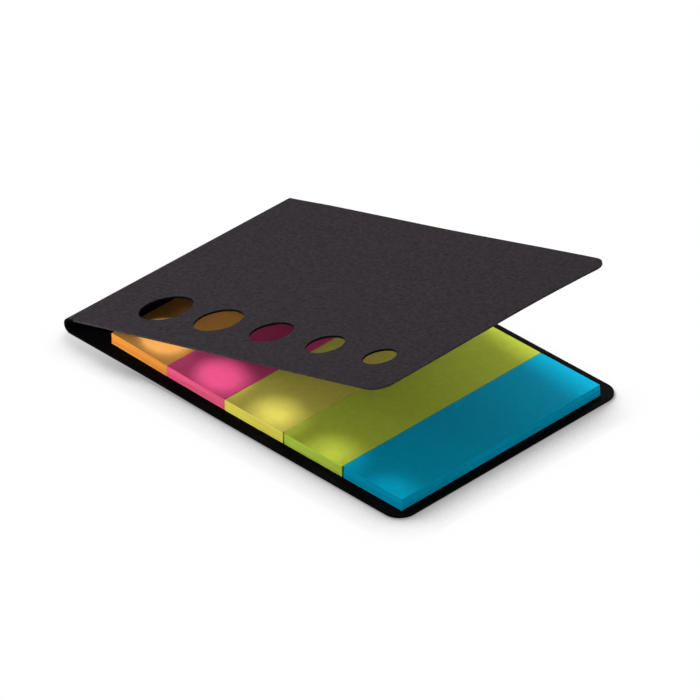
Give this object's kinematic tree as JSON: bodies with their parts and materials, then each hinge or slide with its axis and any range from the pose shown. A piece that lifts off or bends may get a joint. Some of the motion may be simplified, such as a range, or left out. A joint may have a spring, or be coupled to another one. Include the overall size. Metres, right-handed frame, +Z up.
{
  "type": "sticky page marker booklet",
  "caption": "Folded card booklet whose windowed front cover opens over coloured pads of sticky page markers, side by side on its back.",
  "frame": {"origin": "middle of the booklet's base, on the underside of the back cover", "axes": "+X from the spine to the opening edge, +Y along the spine away from the windows' edge, +Z up"},
  "size_m": [0.0856, 0.057, 0.0256],
  "materials": {
    "card": "uncoated black card with a fine fibre grain, matt",
    "orange_paper": "smooth coloured writing paper, matt",
    "pink_paper": "smooth coloured writing paper, matt",
    "yellow_paper": "smooth coloured writing paper, matt",
    "green_paper": "smooth coloured writing paper, matt",
    "blue_paper": "smooth coloured writing paper, matt"
  },
  "bodies": {
    "back": {"back_cover": "card", "spine_fold": "card", "pad_orange": "orange_paper", "pad_pink": "pink_paper", "pad_yellow": "yellow_paper", "pad_green": "green_paper", "pad_blue": "blue_paper"},
    "cover": {"front_cover": "card"}
  },
  "joints": [
    {"name": "cover_hinge", "type": "hinge", "parent": "back", "child": "cover", "pos_m": [-0.0411, 0, 0.00175], "axis": [0, -1, 0], "range_deg": [-15.5, 164], "deforming": ["spine_fold"]}
  ]
}
